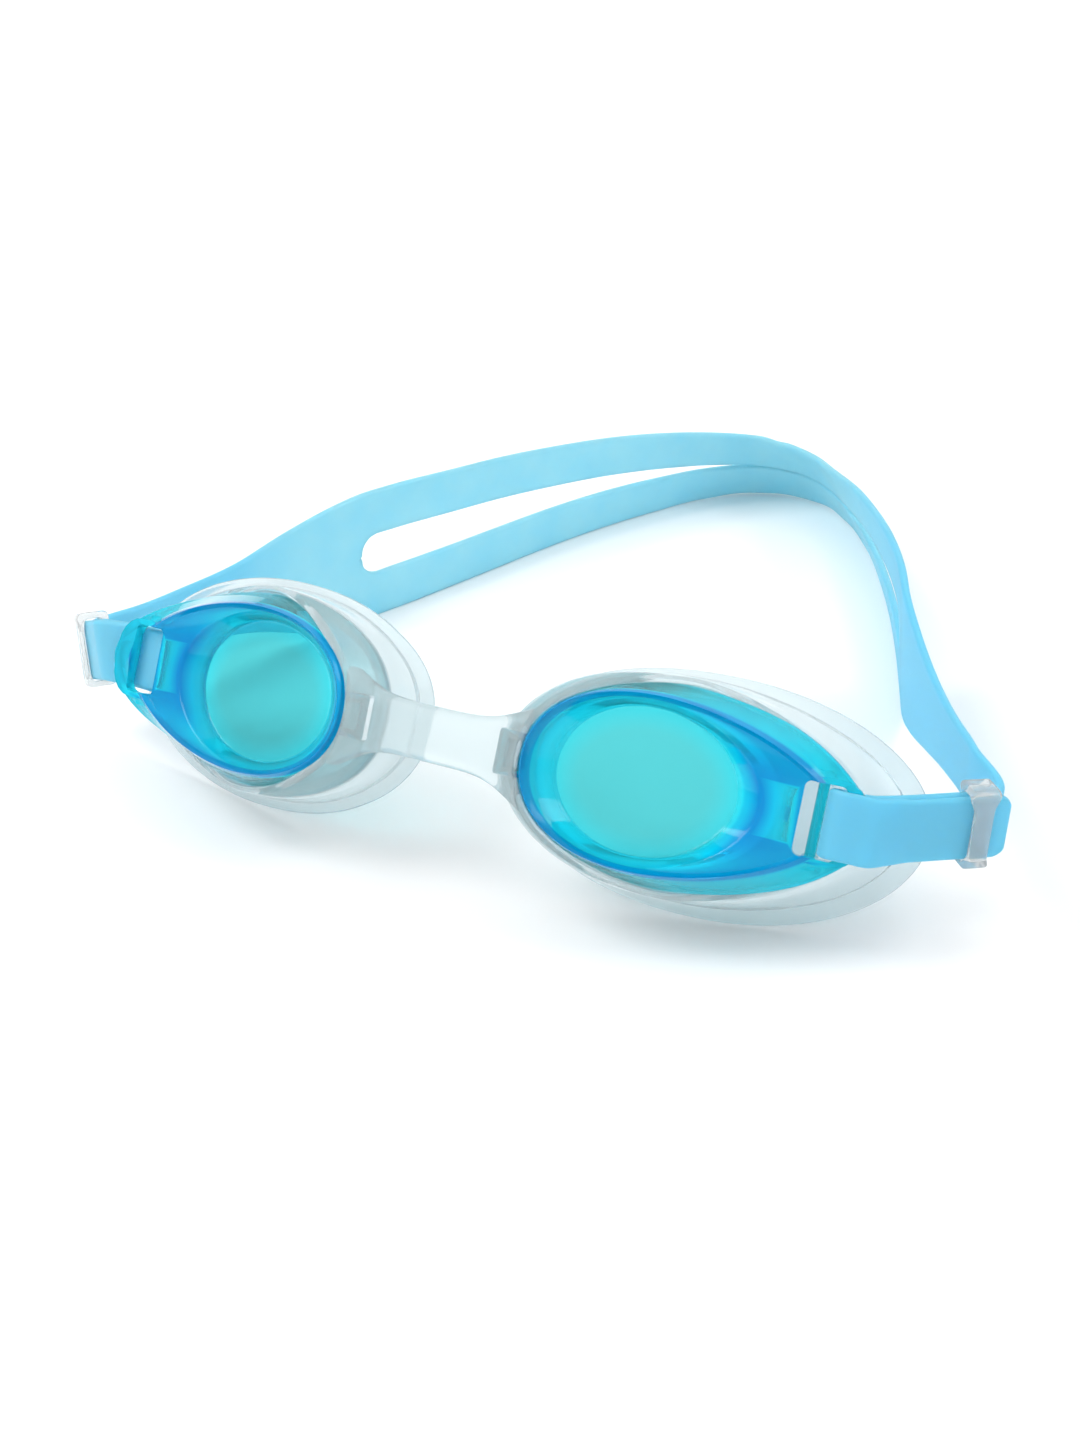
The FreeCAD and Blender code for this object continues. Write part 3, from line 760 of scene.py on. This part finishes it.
lower_band = band_columns(-half, -gap / 2)
upper_band = band_columns(gap / 2, half)
columns = np.concatenate([lower_band, upper_band], axis=1)
to_outside = half[:, None] - np.abs(columns)
to_slot = np.abs(columns) - gap[:, None] / 2
to_slot = np.where(gap[:, None] > 0, to_slot, 99)
edge = np.minimum(np.minimum(to_outside, to_slot), tail_distance[:, None])
edge = np.clip(edge / EDGE_ROUND, 0, 1)
thick = BAND_THICK / 2 * np.maximum(np.sqrt(1 - (1 - edge) ** 2), 0.22)
band_middle = np.where(columns > 0, 1, -1) * (half + gap / 2)[:, None] / 2
toothed = ramp(distance, split_from + 22, split_from + 34)
toothed = toothed * (1 - ramp(distance, split_to - 34, split_to - 22))
across = 1 - ramp(np.abs(columns - band_middle), 2.6, 3.6)
wave = 0.5 - 0.5 * np.cos(2 * math.pi * distance / TOOTH_PITCH)
teeth = TOOTH_HEIGHT * (wave * toothed)[:, None] * across


def make_strap():
    """Both faces of the ribbon and the edges that join them."""
    surface = middle[:, None] + way[:, None] * columns[:, :, None]
    faces_out = surface + outward[:, None] * thick[:, :, None]
    faces_in = surface - outward[:, None] * (thick - teeth)[:, :, None]
    row_count, column_count = columns.shape
    flat = []
    for row in range(row_count - 1):
        for column in range(column_count - 1):
            if column == column_count // 2 - 1:
                continue
            start = row * column_count + column
            flat.append((start, start + 1, start + column_count + 1, start + column_count))
    merged = np.arange(row_count * column_count)
    seam = column_count // 2
    for row in np.flatnonzero(gap < 1e-6):
        merged[row * column_count + seam] = row * column_count + seam - 1
    flat = [tuple(merged[i] for i in face) for face in flat]
    edges = {}
    for face in flat:
        for a, b in zip(face, face[1:] + face[:1]):
            edges[(a, b)] = edges.get((a, b), 0) + 1
    total = row_count * column_count
    faces = list(flat) + [tuple(i + total for i in reversed(face)) for face in flat]
    faces += [(b, a, a + total, b + total) for a, b in edges if (b, a) not in edges]
    points = np.concatenate([faces_out.reshape(-1, 3), faces_in.reshape(-1, 3)])
    return piece("strap_ribbon", points, faces, 55)


strap = make_strap()
work = bmesh.new()
work.from_mesh(strap.data)
loose = [vertex for vertex in work.verts if not vertex.link_faces]
bmesh.ops.delete(work, geom=loose, context="VERTS")
work.to_mesh(strap.data)
work.free()
# Painted light: a deeper blue is painted where the band is single and all along the right side,
# for the cyan light from the tinted cups that shows through the silicone
painted_cyan = 1 - ramp(width, 13, 26)
painted_cyan[(distance > split_from) & (distance < split_to)] = 0
painted_cyan = np.maximum(0.8 * painted_cyan, ramp(middle[:, 0], 0, 60))
mark_points(strap, "painted_cyan_share", middle, painted_cyan)
finish_piece(strap, blue, "strap_silicone", None, "strap", "strap_end_right", "strap_end_left")
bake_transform(strap)

# %% [markdown]
# ## Keepers
# A keeper is a small frosted loop that slides along the doubled end and holds both layers
# together. It is thicker at its top, where fingers push it. The section goes round the strap
# and is swept along it, wider at the cap than at the flat sides.

# %% Keepers
KEEPER_POINTS, KEEPER_SQUARE = 96, 2 / 7
INSIDE_DEEP, INSIDE_TALL, INSIDE_WALL, CAP_WALL = 2.0, 6.3, 1.15, 0.25
BAR_HALF, CAP_EXTRA = 1.8, 0.9


def make_keeper(label, side):
    """Loop round both layers, with rounded edges and a thicker cap."""
    tip, along, height, inward = end_frame(side)
    centre = tip + along * KEEPER_AT + inward * (LAYER_PITCH / 2)
    angle = np.linspace(0, 2 * math.pi, KEEPER_POINTS, endpoint=False)
    deep = np.sign(np.cos(angle)) * np.abs(np.cos(angle)) ** KEEPER_SQUARE
    tall = np.sign(np.sin(angle)) * np.abs(np.sin(angle)) ** KEEPER_SQUARE
    cap = ramp(tall, 0.55, 0.95)
    long_half = BAR_HALF + CAP_EXTRA * np.maximum(cap, 0.6 * ramp(-tall, 0.7, 0.98))
    rings = []
    for grow, share in ((0, -1), (1, -1), (1, 1), (0, 1)):
        wall = grow * (INSIDE_WALL + CAP_WALL * cap)
        x = (INSIDE_DEEP + wall) * deep
        y = (INSIDE_TALL + wall) * tall
        rings.append(centre + inward * x[:, None] + height * y[:, None]
                     + along * (share * long_half)[:, None])
    rings = rounded(rings, [0.3, 0.6, 0.6, 0.3], closed=True)
    faces = quads(len(rings), KEEPER_POINTS, close_rows=True)
    return piece(label, np.concatenate(rings), faces, 50)


for label, side, body in (("keeper_right", 1, "right_keeper"),
                          ("keeper_left", -1, "left_keeper")):
    finish_piece(make_keeper(label + "_loop", side), frosted, "clear_keeper", body, label)

# %% [markdown]
# ## Studio
# The goggles lie on a plain white floor. Almost all light comes from a bright pale
# surround, a little darker near the horizon, so that clear silicone shows grey edges. A
# large soft lamp from the upper left gives the gloss its highlights, and a weaker one on the
# other side fills the shadows.

# %% Floor
def make_floor():
    """Large flat floor in a fine grid, with a plain matt paint."""
    floor_mesh = bpy.data.meshes.new("floor")
    grid = bmesh.new()
    bmesh.ops.create_grid(grid, x_segments=8, y_segments=8, size=4.0)
    grid.to_mesh(floor_mesh)
    grid.free()
    made = bpy.data.objects.new("floor", floor_mesh)
    bpy.context.scene.collection.objects.link(made)
    paint, _ = new_material("matt_white_paint", "F7F7F7", 0.9, 1.45, 0.0)
    made.data.materials.append(paint)
    return made


make_floor()

# %% Surround and lamps
world = bpy.data.worlds.new("studio")
bpy.context.scene.world = world
world.use_nodes = True
nodes, links = world.node_tree.nodes, world.node_tree.links
where = nodes.new("ShaderNodeTexCoord")
split = nodes.new("ShaderNodeSeparateXYZ")
shade = nodes.new("ShaderNodeValToRGB")
links.new(where.outputs["Generated"], split.inputs["Vector"])
links.new(split.outputs["Z"], shade.inputs["Fac"])
links.new(shade.outputs["Color"], nodes["Background"].inputs["Color"])
ramp_colours(shade, [(0.0, "B4B8BC"), (0.45, "FFFFFF")])
nodes["Background"].inputs["Strength"].default_value = 0.95


def soft_lamp(name, place, target, size, power):
    """Square area lamp that points at a target."""
    lamp = bpy.data.lights.new(name, "AREA")
    lamp.size, lamp.energy = size, power
    made = bpy.data.objects.new(name, lamp)
    bpy.context.scene.collection.objects.link(made)
    toward = np.asarray(target) - np.asarray(place)
    back = -unit(toward)
    right = unit(np.cross((0, 0, 1), back))
    turn = np.column_stack([right, np.cross(back, right), back])
    made.matrix_world = Matrix.Translation(place) @ Matrix(turn.tolist()).to_4x4()


soft_lamp("key", (-0.7, -0.6, 1.1), (0, 0, 0), 0.7, 9)
soft_lamp("fill", (0.9, 0.3, 0.9), (0, 0, 0), 0.6, 4)

# %% [markdown]
# ## Camera
# The camera looks down 27 degrees from the front right, from a little under half a metre.

# %% Camera
CAMERA_PLACE, CAMERA_LENS = (0.2029, -0.4558, 0.2428), 64.15
camera_data = bpy.data.cameras.new("camera")
camera_data.sensor_fit = "VERTICAL"
camera_data.sensor_height = 36
camera_data.lens = CAMERA_LENS
camera = bpy.data.objects.new("camera", camera_data)
bpy.context.scene.collection.objects.link(camera)
azimuth, elevation = math.radians(27.2), math.radians(27.0)
backward = np.array([math.sin(azimuth) * math.cos(elevation),
                     -math.cos(azimuth) * math.cos(elevation), math.sin(elevation)])
to_right = np.array([math.cos(azimuth), math.sin(azimuth), 0])
upward = np.cross(backward, to_right)
axes = Matrix(np.column_stack([to_right, upward, backward]).tolist()).to_4x4()
camera.matrix_world = Matrix.Translation(CAMERA_PLACE) @ axes
bpy.context.scene.camera = camera
bpy.context.scene.view_settings.view_transform = "Standard"

# %% The end
bpy.context.view_layer.update()
